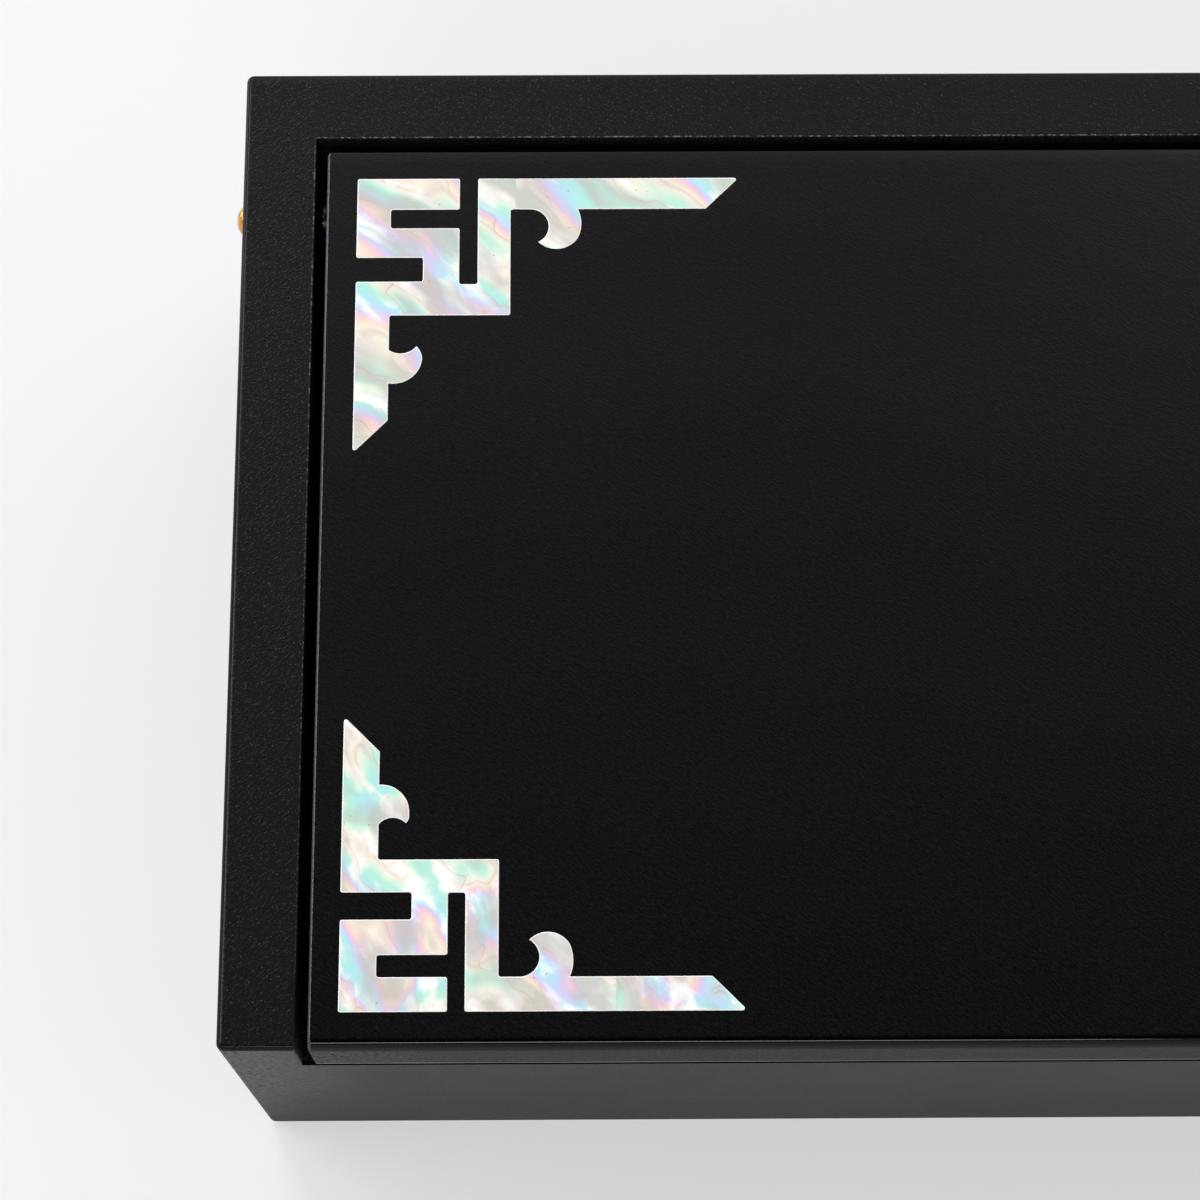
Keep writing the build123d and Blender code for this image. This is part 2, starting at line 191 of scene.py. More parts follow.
def lacquer(
    name, colour, haze, gloss_range, sheen, marked, scuffs_and_reflection, lifts, streak_turn, dust_share, span,
    worn=False, seam_z=None, highlight_line_z=None,
):
    """Black satin lacquer, sprayed over wood and rubbed down: near black, with a soft broad gloss, fine
    rubbing marks that lie on a slant, and dust nibs caught in the last coat. Hands have polished the
    arrises and creased the film at the front corners, where a grey colour gives scuff marks and a painted
    reflection together.
    colour is the film's own and haze that of a mark; gloss_range is the roughness of the flat top, of the
    arrises and of the upright faces; sheen is the unworn specular level; marked holds the heights of noise
    between which a mark grows; scuffs_and_reflection is the share of grey on the upright faces away from
    the front corners, where it gives scuff marks, and at them, where it gives scuff marks and a painted
    reflection; lifts is the relief in mm of the flat top and of the upright faces; span holds the lowest and
    the highest corner of what is coated. Where they are given, seam_z is the height of a seam in the front
    that is painted dark as shade, and highlight_line_z that of a painted highlight line there, on a piece
    whose end arrises carry a painted highlight too."""
    made, tree, shader = material(name, IOR=1.5, Specular_IOR_Level=sheen)
    low, high = (corner / MM for corner in span)
    top_rough, arris_rough, upright_rough = gloss_range
    few_scuffs, corner_scuffs_and_reflection = scuffs_and_reflection
    top_lift, upright_lift = lifts
    place = millimetres(tree)
    along, back, up = add(tree, "ShaderNodeSeparateXYZ", {0: place}).node.outputs
    from_middle = add(tree, "ShaderNodeMath", {0: along}, operation="ABSOLUTE")
    facing = add(tree, "ShaderNodeTexCoord", out="Normal")
    facing = add(tree, "ShaderNodeSeparateXYZ", {0: facing}, out="Z")
    flat = add(tree, "ShaderNodeMapRange", {"Value": facing, "From Min": 0.97, "From Max": 0.995})
    upright = add(tree, "ShaderNodeMapRange", {"Value": facing, "From Min": 0.45, "From Max": 0.2})
    grained = add(tree, "ShaderNodeMath", {0: upright, 1: flat}, operation="MAXIMUM")

    # Rubbing marks, 1.1 mm long and 0.28 mm wide, over the grain of the spray, 0.4 mm
    turned = add(tree, "ShaderNodeMapping", {"Vector": place, "Rotation": (0, 0, math.radians(-streak_turn))})
    turned = add(
        tree, "ShaderNodeVectorMath", {0: turned, 1: (1 / 1.1, 1 / 0.28, 1 / 0.5)}, operation="MULTIPLY",
    )
    marks = add(tree, "ShaderNodeTexNoise", {"Vector": turned, "Scale": 0.7, "Detail": 1.0, "Roughness": 0.6})
    grain = add(tree, "ShaderNodeTexNoise", {"Vector": place, "Scale": 1 / 0.4, "Detail": 1.0})
    marks = add(tree, "ShaderNodeMath", {0: marks, 1: grain}, operation="ADD")
    streaks = add(tree, "ShaderNodeMapRange", {"Value": marks, "From Min": marked[0], "From Max": marked[1]})
    streaks = add(tree, "ShaderNodeMath", {0: grain, 1: 0.2, 2: streaks}, operation="MULTIPLY_ADD")
    streaks = add(tree, "ShaderNodeMath", {0: streaks, 1: grained}, operation="MULTIPLY")
    body = add(
        tree, "ShaderNodeMix", {0: streaks, 6: linear(colour), 7: linear(haze)}, out=2, data_type="RGBA",
    )

    # Hands have worn the last 28 mm before a front corner, fully above 60 mm and not at all below 18 mm
    hand = 28.0
    at_end = add(
        tree, "ShaderNodeMapRange",
        {"Value": from_middle, "From Min": high.x - hand, "From Max": high.x - 1.0},
    )
    at_front = add(
        tree, "ShaderNodeMapRange", {"Value": back, "From Min": low.y + hand, "From Max": low.y + 1.0},
    )
    corner = add(tree, "ShaderNodeMath", {0: at_end, 1: at_front}, operation="MULTIPLY")
    handled = add(tree, "ShaderNodeMapRange", {"Value": up, "From Min": 18.0, "From Max": 60.0})
    handled = add(tree, "ShaderNodeMath", {0: handled, 1: upright}, operation="MULTIPLY")
    handled = add(tree, "ShaderNodeMath", {0: handled, 1: corner}, operation="MULTIPLY")

    # There the upright faces take more grey, in patches about 16 mm across: scuff marks and painted
    # reflection
    knocks = add(
        tree, "ShaderNodeTexNoise", {"Vector": place, "Scale": 1 / 16, "Detail": 4.0, "Roughness": 0.6},
    )
    knocks = add(
        tree, "ShaderNodeMapRange", {"Value": knocks, "From Min": 0.35, "From Max": 0.6, "To Min": 0.25},
    )
    corner = add(tree, "ShaderNodeMath", {0: corner, 1: corner}, operation="MULTIPLY")
    corner = add(tree, "ShaderNodeMath", {0: corner, 1: knocks}, operation="MULTIPLY")
    share = add(
        tree, "ShaderNodeMath", {0: corner, 1: corner_scuffs_and_reflection - few_scuffs, 2: few_scuffs},
        operation="MULTIPLY_ADD",
    )
    # Grey of scuff marks on the upright faces, with a painted reflection added near the front corners
    scuff_and_reflection_mask = add(
        tree, "ShaderNodeMapRange", {"Value": marks, "From Min": 0.85, "From Max": 1.25, "To Max": share},
    )
    scuff_and_reflection_mask = add(tree, "ShaderNodeMath", {0: scuff_and_reflection_mask, 1: upright}, operation="MULTIPLY")
    body = add(tree, "ShaderNodeMix", {0: scuff_and_reflection_mask, 6: body, 7: linear(SCUFF_AND_REFLECTION_GREY)}, out=2, data_type="RGBA")

    # Between the marks the gloss is dull, and in the creases of the handled film, 1 mm wide and 1.8 mm high
    between = add(tree, "ShaderNodeMapRange", {"Value": marks, "From Min": 1.15, "From Max": 0.85})
    dull = add(tree, "ShaderNodeMath", {0: between, 1: 0.16}, operation="MULTIPLY")
    creases = add(tree, "ShaderNodeVectorMath", {0: place, 1: (1, 1, 1 / 1.8)}, operation="MULTIPLY")
    creases = add(
        tree, "ShaderNodeTexNoise", {"Vector": creases, "Scale": 1.0, "Detail": 2.0, "Roughness": 0.6},
    )
    creases = add(tree, "ShaderNodeMapRange", {"Value": creases, "From Min": 0.54, "From Max": 0.34})
    creases = add(tree, "ShaderNodeMath", {0: creases, 1: handled}, operation="MULTIPLY")
    dull = add(tree, "ShaderNodeMath", {0: creases, 1: 0.9, 2: dull}, operation="MULTIPLY_ADD")
    dull = add(tree, "ShaderNodeMath", {0: dull, 1: upright}, operation="MULTIPLY")

    # A line in the front shows only in the front face itself, the outermost 0.7 mm
    ahead = add(tree, "ShaderNodeMapRange", {"Value": back, "From Min": low.y + 0.9, "From Max": low.y + 0.5})
    # The seam under the lid is painted dark as shade, and its gloss dulled
    if seam_z is not None:
        seam = front_line(tree, up, ahead, seam_z, 0.6)
        dull = add(tree, "ShaderNodeMath", {0: dull, 1: seam}, operation="MAXIMUM")
        body = add(tree, "ShaderNodeMix", {0: seam, 6: body, 7: linear(SEAM_PAINTED_SHADE)}, out=2, data_type="RGBA")
    # A painted highlight: a pale line low along the lid's front, its strength wavering in patches
    if highlight_line_z is not None:
        rubbed = front_line(tree, up, ahead, highlight_line_z, 0.35)
        wavy = add(
            tree, "ShaderNodeMapRange", {"Value": knocks, "From Min": 0.0, "From Max": 1.0, "To Min": 0.25},
        )
        rubbed = add(tree, "ShaderNodeMath", {0: rubbed, 1: wavy}, operation="MULTIPLY")
        body = add(
            tree, "ShaderNodeMix", {0: rubbed, 6: body, 7: linear(PAINTED_HIGHLIGHT_LINE)}, out=2, data_type="RGBA",
        )
        # Painted highlight: the arrises at the lid's left and right ends are painted a pale grey
        end_highlight = add(
            tree, "ShaderNodeMapRange",
            {"Value": from_middle, "From Min": high.x - 0.7, "From Max": high.x - 0.45},
        )
        arrises = add(tree, "ShaderNodeMath", {0: 1.0, 1: grained}, operation="SUBTRACT")
        end_highlight = add(tree, "ShaderNodeMath", {0: end_highlight, 1: arrises}, operation="MULTIPLY")
        body = add(tree, "ShaderNodeMix", {0: end_highlight, 6: body, 7: linear(PAINTED_END_HIGHLIGHT)}, out=2, data_type="RGBA")

    # Handling adds gloss, and less of it is left lower down
    lower = add(tree, "ShaderNodeMapRange", {"Value": up, "From Min": 75.0, "From Max": 0.0, "To Max": 0.35})
    lower = add(tree, "ShaderNodeMath", {0: lower, 1: upright}, operation="MULTIPLY")
    dull = add(tree, "ShaderNodeMath", {0: dull, 1: lower}, operation="ADD")
    grip = add(tree, "ShaderNodeMath", {0: handled, 1: 0.24, 2: sheen}, operation="MULTIPLY_ADD")
    polish = add(tree, "ShaderNodeMapRange", {"Value": dull, "To Min": grip, "To Max": 0.0})
    tree.links.new(polish, shader["Specular IOR Level"])

    # Dust nibs, up to 0.25 mm across
    nib = specks(tree, place, 0.8, 0.04, 0.17, dust_share)
    nib = add(tree, "ShaderNodeMath", {0: nib, 1: grained}, operation="MULTIPLY")
    body = add(tree, "ShaderNodeMix", {0: nib, 6: body, 7: linear(DUST_NIB)}, out=2, data_type="RGBA")
    if worn:
        beads = rubbed_beads(tree, place, back)
        body = add(
            tree, "ShaderNodeMix", {0: beads, 6: body, 7: linear(RUBBED_THROUGH)}, out=2, data_type="RGBA",
        )
    tree.links.new(body, shader["Base Color"])

    # The spray flowed in broad faint clouds, 28 mm across, which vary the roughness by 0.03 either way
    cloud = add(tree, "ShaderNodeTexNoise", {"Vector": place, "Scale": 1 / 28, "Detail": 3.0})
    gloss = add(
        tree, "ShaderNodeMath", {0: flat, 1: top_rough - arris_rough, 2: arris_rough - 0.03},
        operation="MULTIPLY_ADD",
    )
    gloss = add(
        tree, "ShaderNodeMath", {0: upright, 1: upright_rough - arris_rough, 2: gloss},
        operation="MULTIPLY_ADD",
    )
    gloss = add(tree, "ShaderNodeMath", {0: cloud, 1: 0.06, 2: gloss}, operation="MULTIPLY_ADD")
    tree.links.new(gloss, shader["Roughness"])

    # Marks and nibs stand up and creases sink in; over the last 3 mm at the back the film falls by 0.1 mm
    height = add(tree, "ShaderNodeMath", {0: marks, 1: 0.4, 2: streaks}, operation="MULTIPLY_ADD")
    height = add(tree, "ShaderNodeMath", {0: nib, 1: 0.8, 2: height}, operation="MULTIPLY_ADD")
    relief = add(tree, "ShaderNodeMath", {0: flat, 1: top_lift}, operation="MULTIPLY")
    relief = add(tree, "ShaderNodeMath", {0: upright, 1: upright_lift, 2: relief}, operation="MULTIPLY_ADD")
    height = add(tree, "ShaderNodeMath", {0: height, 1: relief}, operation="MULTIPLY")
    fall = add(tree, "ShaderNodeMapRange", {"Value": back, "From Min": high.y - 3.0, "From Max": high.y})
    fall = add(tree, "ShaderNodeMath", {0: fall, 1: fall}, operation="MULTIPLY")
    height = add(tree, "ShaderNodeMath", {0: fall, 1: -0.1, 2: height}, operation="MULTIPLY_ADD")
    height = add(tree, "ShaderNodeMath", {0: creases, 1: -0.1, 2: height}, operation="MULTIPLY_ADD")
    lift = add(tree, "ShaderNodeBump", {"Height": height, "Strength": 1.0, "Distance": MM})
    tree.links.new(lift, shader["Normal"])
    return made


def mother_of_pearl(name, turn, shift, patch, stretch, band, swirl):
    """Polished pearl oyster shell, sawn thin: soft pastel patches of interference colour drawn out along the
    growth of the shell, milky and shaded streaks, here and there the hard edge of a layer, and a few pits.
    turn and shift say where it was sawn from, patch and stretch how wide the patches are in mm and how many
    times longer, band and swirl how wide the bands of colour are in mm and by how many bands they swirl."""
    made, tree, shader = material(name, Roughness=0.18, IOR=1.53, Specular_IOR_Level=0.4)
    place = millimetres(tree)

    # The growth bends over 24 mm and again over 8 mm
    bent = place
    for reach, size in ((8.0, 24.0), (2.4, 8.0)):
        bend = add(
            tree, "ShaderNodeTexNoise", {"Vector": place, "Scale": 1 / size, "Detail": 0.0}, out="Color",
        )
        bend = add(tree, "ShaderNodeVectorMath", {0: bend, 1: (0.5, 0.5, 0.5)}, operation="SUBTRACT")
        bend = add(tree, "ShaderNodeVectorMath", {0: bend, "Scale": reach}, operation="SCALE")
        bent = add(tree, "ShaderNodeVectorMath", {0: bent, 1: bend}, operation="ADD")
    grown = add(
        tree, "ShaderNodeMapping",
        {"Vector": bent, "Location": shift, "Rotation": (0, 0, math.radians(turn))},
    )
    drawn = add(tree, "ShaderNodeVectorMath", {0: grown, 1: (1 / stretch, 1, 1)}, operation="MULTIPLY")

    # Interference colours: bands along the growth, that patches bend out of line
    across = add(tree, "ShaderNodeSeparateXYZ", {0: grown}, out="Y")
    film = add(
        tree, "ShaderNodeTexNoise", {"Vector": drawn, "Scale": 1 / patch, "Detail": 1.5, "Roughness": 0.4},
    )
    film = add(tree, "ShaderNodeMath", {0: film, 1: swirl * band}, operation="MULTIPLY")
    film = add(tree, "ShaderNodeMath", {0: film, 1: across}, operation="ADD")
    film = add(tree, "ShaderNodeMath", {0: film, 1: band}, operation="DIVIDE")
    film = add(tree, "ShaderNodeMath", {0: film}, operation="FRACT")
    hue = add(
        tree, "ShaderNodeValToRGB", {"Fac": film}, stops=[
            (0.00, "#f4ead8"), (0.09, "#f3d6c6"), (0.17, "#f0cad8"), (0.25, "#dac8ec"), (0.33, "#c2d8f2"),
            (0.43, "#b2e4ec"), (0.55, "#b0e8de"), (0.67, "#bcecd6"), (0.77, "#dcf0de"), (0.86, "#f1ebd8"),
            (0.93, "#e4d6c6"), (1.00, "#f4ead8"),
        ],
    )

    # Milk and shade lie in streaks along the growth
    veil = add(
        tree, "ShaderNodeTexNoise",
        {"Vector": drawn, "Scale": 1 / (patch * 0.5), "Detail": 3.0, "Roughness": 0.5},
    )
    milk = add(
        tree, "ShaderNodeMapRange",
        {"Value": veil, "From Min": 0.48, "From Max": 0.66, "To Min": 0.0, "To Max": 0.9},
        interpolation_type="SMOOTHSTEP",
    )
    shade = add(
        tree, "ShaderNodeTexNoise",
        {"Vector": drawn, "Scale": 1 / (patch * 0.8), "Detail": 2.0, "Roughness": 0.5},
    )
    shade = add(
        tree, "ShaderNodeMapRange",
        {"Value": shade, "From Min": 0.6, "From Max": 0.34, "To Min": 0.0, "To Max": 0.8},
        interpolation_type="SMOOTHSTEP",
    )
    colour = add(tree, "ShaderNodeMix", {0: milk, 6: hue, 7: linear("#fffefa")}, out=2, data_type="RGBA")
    colour = add(tree, "ShaderNodeMix", {0: shade, 6: colour, 7: linear("#bfbeb6")}, out=2, data_type="RGBA")

    # Edges of layers, 13 mm apart and curled by up to 9 mm: a hard line on one side, shade that leads up to
    # it on the other
    layers_apart, curled = 13.0, 9.0
    curl = add(tree, "ShaderNodeTexNoise", {"Vector": grown, "Scale": 1 / 7.0, "Detail": 1.0})
    layer = add(tree, "ShaderNodeMath", {0: curl, 1: curled, 2: across}, operation="MULTIPLY_ADD")
    layer = add(tree, "ShaderNodeMath", {0: layer, 1: layers_apart}, operation="DIVIDE")
    layer = add(tree, "ShaderNodeMath", {0: layer}, operation="FRACT")
    lead = add(
        tree, "ShaderNodeMapRange",
        {"Value": layer, "From Min": 0.86, "From Max": 1.0, "To Min": 0.0, "To Max": 0.4},
        interpolation_type="SMOOTHSTEP",
    )
    line = add(
        tree, "ShaderNodeMapRange",
        {"Value": layer, "From Min": 0.978, "From Max": 0.99, "To Min": 0.0, "To Max": 0.5},
    )
    fading = add(
        tree, "ShaderNodeMapRange",
        {"Value": veil, "From Min": 0.4, "From Max": 0.6, "To Min": 1.0, "To Max": 0.15},
    )
    line = add(tree, "ShaderNodeMath", {0: line, 1: fading}, operation="MULTIPLY")
    colour = add(tree, "ShaderNodeMix", {0: lead, 6: colour, 7: linear("#dccbc6")}, out=2, data_type="RGBA")
    colour = add(tree, "ShaderNodeMix", {0: line, 6: colour, 7: linear("#cf9f88")}, out=2, data_type="RGBA")

    # Pits, brown, 0.3 mm across
    pit = specks(tree, place, 2.6, 0.03, 0.08, 0.5, strength=0.8)
    colour = add(tree, "ShaderNodeMix", {0: pit, 6: colour, 7: linear("#8d6e58")}, out=2, data_type="RGBA")
    tree.links.new(colour, shader["Base Color"])

    height = add(tree, "ShaderNodeMath", {0: pit, 1: -1.0, 2: veil}, operation="MULTIPLY_ADD")
    lift = add(tree, "ShaderNodeBump", {"Height": height, "Strength": 1.0, "Distance": 0.04 * MM})
    tree.links.new(lift, shader["Normal"])
    return made


def shell_edge_and_highlight():
    """The arris of a shell piece, rubbed round with fine paper: pale and chalky beside the polished face,
    and painted near white as a highlight that catches light from every side.
    """
    made, tree, shader = material("shell_arris_rubbed_and_highlight", Roughness=0.35, IOR=1.53)
    place = millimetres(tree)
    tint = add(tree, "ShaderNodeTexNoise", {"Vector": place, "Scale": 1 / 5.0, "Detail": 2.0})
    colour = add(
        tree, "ShaderNodeValToRGB", {"Fac": tint},
        stops=[(0.35, "#fff1e2"), (0.5, "#fffefa"), (0.65, "#f2fbff")],
    )
    tree.links.new(colour, shader["Base Color"])
    return made


def brass(name, stained, colour, bright, rough):
    """Turned brass: a warm yellow metal with faint rings from the lathe and a little tarnish. The bushes,
    where the pin turns in the narrow gap beside the lid, are coloured dark as painted shade: the lid's
    dull brass darkened, the side's near black."""
    made, tree, shader = material(name, Metallic=1.0)
    place = millimetres(tree)
    from_axis = add(
        tree, "ShaderNodeVectorMath", {0: place, 1: (0, pivot_y / MM, pivot_z / MM)}, operation="SUBTRACT",
    )
    across = add(tree, "ShaderNodeVectorMath", {0: from_axis, 1: (0, 1, 1)}, operation="MULTIPLY")
    radius = add(tree, "ShaderNodeVectorMath", {0: across}, out="Value", operation="LENGTH")
    rings = add(
        tree, "ShaderNodeTexNoise", {"W": radius, "Scale": 1 / 0.12, "Detail": 1.0}, noise_dimensions="1D",
    )
    stain = add(tree, "ShaderNodeTexNoise", {"Vector": place, "Scale": 1 / 1.8, "Detail": 4.0})
    colour = add(
        tree, "ShaderNodeValToRGB", {"Fac": stain}, stops=[(0.3, stained), (0.5, colour), (0.75, bright)],
    )
    tree.links.new(colour, shader["Base Color"])
    gloss = add(
        tree, "ShaderNodeMapRange",
        {"Value": stain, "From Min": 0.3, "From Max": 0.7, "To Min": rough + 0.08, "To Max": rough - 0.05},
    )
    tree.links.new(gloss, shader["Roughness"])
    lift = add(tree, "ShaderNodeBump", {"Height": rings, "Strength": 0.6, "Distance": 0.01 * MM})
    tree.links.new(lift, shader["Normal"])
    return made


def velvet():
    """Cotton velvet: a deep red that goes pale at a glancing angle, its nap lying this way and that in
    patches."""
    made, tree, shader = material(
        "velvet_cotton", Roughness=0.95, IOR=1.45, Sheen_Weight=0.7, Sheen_Roughness=0.35,
        Sheen_Tint=linear("#c2485a"), Specular_IOR_Level=0.15,
    )
    place = millimetres(tree)
    nap = add(
        tree, "ShaderNodeTexNoise", {"Vector": place, "Scale": 1 / 24, "Detail": 4.0, "Distortion": 1.2},
    )
    # The pile's own tufts are 0.1 mm apart, and drawn at 0.35 mm so that they show
    tufts = add(tree, "ShaderNodeTexNoise", {"Vector": place, "Scale": 1 / 0.35, "Detail": 2.0})
    shade = add(tree, "ShaderNodeMix", {0: 0.3, 2: nap, 3: tufts}, data_type="FLOAT")
    colour = add(
        tree, "ShaderNodeValToRGB", {"Fac": shade},
        stops=[(0.34, "#3f0812"), (0.5, "#560d1a"), (0.66, "#6c1524")],
    )
    tree.links.new(colour, shader["Base Color"])
    height = add(tree, "ShaderNodeMath", {0: nap, 1: 1.5, 2: tufts}, operation="MULTIPLY_ADD")
    lift = add(tree, "ShaderNodeBump", {"Height": height, "Strength": 0.8, "Distance": 0.15 * MM})
    tree.links.new(lift, shader["Normal"])
    return made


def felt():
    """Pressed black wool felt: matted fibres 0.4 mm across with a grey bloom, no gloss."""
    made, tree, shader = material(
        "felt_wool", Roughness=1.0, IOR=1.45, Sheen_Weight=0.25, Sheen_Roughness=0.6, Specular_IOR_Level=0.1,
    )
    place = millimetres(tree)
    matted = add(
        tree, "ShaderNodeTexNoise",
        {"Vector": place, "Scale": 1 / 0.8, "Detail": 5.0, "Roughness": 0.7, "Distortion": 2.5},
    )
    colour = add(
        tree, "ShaderNodeValToRGB", {"Fac": matted},
        stops=[(0.35, "#0f0f10"), (0.55, "#202123"), (0.75, "#47484b")],
    )
    tree.links.new(colour, shader["Base Color"])
    lift = add(tree, "ShaderNodeBump", {"Height": matted, "Strength": 0.9, "Distance": 0.2 * MM})
    tree.links.new(lift, shader["Normal"])
    return made


# Pieces

def as_mesh(shape, name, smooth=False):
    """The mesh of a shape worked out in bmesh."""
    mesh = bpy.data.meshes.new(name)
    shape.to_mesh(mesh)
    shape.free()
    if smooth:
        mesh.polygons.foreach_set("use_smooth", [True] * len(mesh.polygons))
    return mesh


def finished(name, mesh, body, replaced, finishes):
    """Makes an object of a mesh, gives it its finishes, and puts it in the place of a CAD node."""
    made = bpy.data.objects.new(name, mesh)
    bpy.context.scene.collection.objects.link(made)
    mesh.materials.clear()
    for finish in finishes:
        mesh.materials.append(finish)
    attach(made, body)
    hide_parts(replaced)
    return made


def inlay(node, finish, edge_finish, seam_x):
    """A shell piece with its upper edges rubbed round, and hardly along the seam to the next piece."""
    rounding = 0.22 * MM
    seam_rounding = 0.03 * MM
    near = 0.01 * MM
    shape = bmesh.new()
    shape.from_mesh(nodes[node].data)
    weight = shape.edges.layers.float.new("bevel_weight_edge")
    bmesh.ops.remove_doubles(shape, verts=shape.verts, dist=0.002 * MM)
    bmesh.ops.dissolve_limit(shape, angle_limit=math.radians(0.5), verts=shape.verts, edges=shape.edges)
    high = max(v.co.z for v in shape.verts)
    rim = [
        e for e in shape.edges
        if all(v.co.z > high - near for v in e.verts) and any(abs(f.normal.z) < 0.5 for f in e.link_faces)
    ]
    at_seam = [e for e in rim if all(abs(v.co.x - seam_x) < near for v in e.verts)]
    for edge in rim:
        edge[weight] = seam_rounding / rounding if edge in at_seam else 1.0
    made = finished(
        node + "_inlay", as_mesh(shape, node + "_inlay"), "lid", node,
        [finish, edge_finish],
    )
    ease = made.modifiers.new("rubbed_edge", "BEVEL")
    ease.limit_method = "WEIGHT"
    ease.width = rounding
    ease.segments = 4
    ease.use_clamp_overlap = False
    # The rounded rim takes the pale arris finish: sanded shell and a painted highlight
    ease.material = 1
    ease.harden_normals = False


def upholstered(node, name, face, rounding, crown, cell, body, finish):
    """A cloth-covered pad in the place of a CAD block: rounded edges, and a face that crowns by up to crown
    towards its middle, with a few slow ripples. cell is how far apart its faces are divided."""
    edge_reach, ripple_length, ripple_share = 8 * MM, 35 * MM, 0.25
    low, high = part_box(node)
    shape = bmesh.new()
    bmesh.ops.create_cube(shape, size=1.0)
    for vertex in shape.verts:
        vertex.co = Vector(high[i] if vertex.co[i] > 0 else low[i] for i in range(3))
    bmesh.ops.bevel(
        shape, geom=list(shape.edges), offset=rounding, offset_type="OFFSET", segments=4, profile=0.5,
        affect="EDGES",
    )
    across = [i for i in range(3) if abs(face[i]) < 0.5]
    for axis in across:
        count = max(2, round((high[axis] - low[axis]) / cell))
        normal = Vector(1.0 if i == axis else 0.0 for i in range(3))
        for step in range(1, count):
            place = low.copy()
            place[axis] = low[axis] + rounding + (high[axis] - low[axis] - 2 * rounding) * step / count
            bmesh.ops.bisect_plane(
                shape, geom=shape.verts[:] + shape.edges[:] + shape.faces[:], plane_co=place, plane_no=normal,
            )
    out = Vector(face)
    level = max(v.co @ out for v in shape.verts)
    for vertex in shape.verts:
        if vertex.co @ out > level - rounding * 0.99:
            share = 1.0
            for axis in across:
                inward = min(vertex.co[axis] - low[axis], high[axis] - vertex.co[axis])
                share *= 1 - math.exp(-max(inward, 0) / edge_reach)
            ripple = noise.noise(vertex.co / ripple_length) * ripple_share
            vertex.co += out * crown * share * (1 + ripple)
    return finished(name, as_mesh(shape, name, smooth=True), body, node, [finish])


def spun(profile, place, sides=64):
    """A closed round shape: profile gives each ring's radius and height, place says where its points lie."""
    shape = bmesh.new()
    rings = []
    for radius, height in profile:
        count = sides if radius > 0 else 1
        rings.append([shape.verts.new(place(radius, height, 2 * math.pi * i / sides)) for i in range(count)])
    for lower, upper in zip(rings, rings[1:]):
        for i in range(sides):
            j = (i + 1) % sides
            corners = [
                lower[i % len(lower)], lower[j % len(lower)], upper[j % len(upper)], upper[i % len(upper)],
            ]
            shape.faces.new(list(dict.fromkeys(corners)))
    bmesh.ops.recalc_face_normals(shape, faces=shape.faces)
    return shape


def felt_disc(node, name, finish):
    """A felt pad punched from sheet: a disc with a soft, slightly domed edge."""
    low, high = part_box(node)
    centre = (low + high) / 2
    radius = (high.x - low.x) / 2
    thickness = high.z - low.z

    def place(out, up, angle):
        around = Vector((math.cos(angle), math.sin(angle), 0))
        fray = 1 - 0.02 * (1 + noise.noise(around * 6 + Vector((0, 0, up * 3))))
        return Vector((centre.x, centre.y, low.z + thickness * up)) + around * radius * out * fray

    shape = spun(
        [(0, 0.0), (0.9, 0.0), (1.0, 0.12), (1.0, 0.75), (0.96, 0.9), (0.85, 0.98), (0.5, 1.0), (0, 1.0)],
        place, 48,
    )
    finished(name, as_mesh(shape, name, smooth=True), "box", node, [finish])


def pivot_pin(side, finish):
    """A turned pin: chamfered tip, plain shank, and a round head with an eased rim."""
    node = f"pivot_pin_{side}"
    low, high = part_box(node)
    outward = -1 if side == "left" else 1
    tip, crown = sorted((abs(low.x), abs(high.x)))
    head = (high.y - low.y) / 2
    shank, chamfer, rim = 2.0 * MM, 0.5 * MM, 0.1 * MM
    board = outer_high.x
    profile = [
        (0, tip), (shank - chamfer, tip), (shank, tip + chamfer), (shank, board), (head - rim, board),
        (head, board + rim),
    ]
    steps = 14
    for i in range(1, steps):
        turn = math.radians(90 * i / steps)
        profile.append((head * math.cos(turn), board + rim + (crown - board - rim) * math.sin(turn)))
    profile.append((0, crown))

    def place(radius, along, angle):
        return Vector(
            (outward * along, pivot_y + radius * math.cos(angle), pivot_z + radius * math.sin(angle)),
        )

    mesh = as_mesh(spun(profile, place), node + "_turned", smooth=True)
    mesh.set_sharp_from_angle(angle=math.radians(30))
    finished(node + "_turned", mesh, "box", node, [finish])


def coat(node, finish):
    """Gives a CAD piece its finish."""
    mesh = nodes[node].data
    mesh.materials.clear()
    mesh.materials.append(finish)


box_film = {
    "colour": "#0e0e0f", "haze": "#28282a", "gloss_range": (0.32, 0.12, 0.5), "sheen": 0.12,
    "marked": (1.07, 1.62), "scuffs_and_reflection": (0.1, 0.6), "lifts": (0.05, 0.2), "dust_share": 0.3,
    "span": (outer_low, outer_high), "worn": True,
}
# The seam under the lid, painted dark as shade in the front of the walls
seam_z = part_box("front_wall")[1].z - 0.25 * MM
side_lacquer = lacquer("lacquer_sides_rubbed", streak_turn=45, **box_film)
wall_lacquer = lacquer("lacquer_walls_rubbed", streak_turn=-40, seam_z=seam_z, **box_film)
# The lid carries painted highlights, a line low in its front and along its end arrises
lid_lacquer = lacquer(
    "lacquer_lid_rubbed", colour="#010101", haze="#0e0e0f", gloss_range=(0.25, 0.1, 0.62), sheen=0.22,
    marked=(0.85, 1.35), scuffs_and_reflection=(0.2, 0.4), lifts=(0.01, 0.2), streak_turn=-40, dust_share=0.0,
    span=(lid_low, lid_high), highlight_line_z=lid_low.z + 0.75 * MM,
)
brass_turned = brass("brass_turned_polished", "#bf7f3e", "#d99a54", "#f3c98a", 0.16)
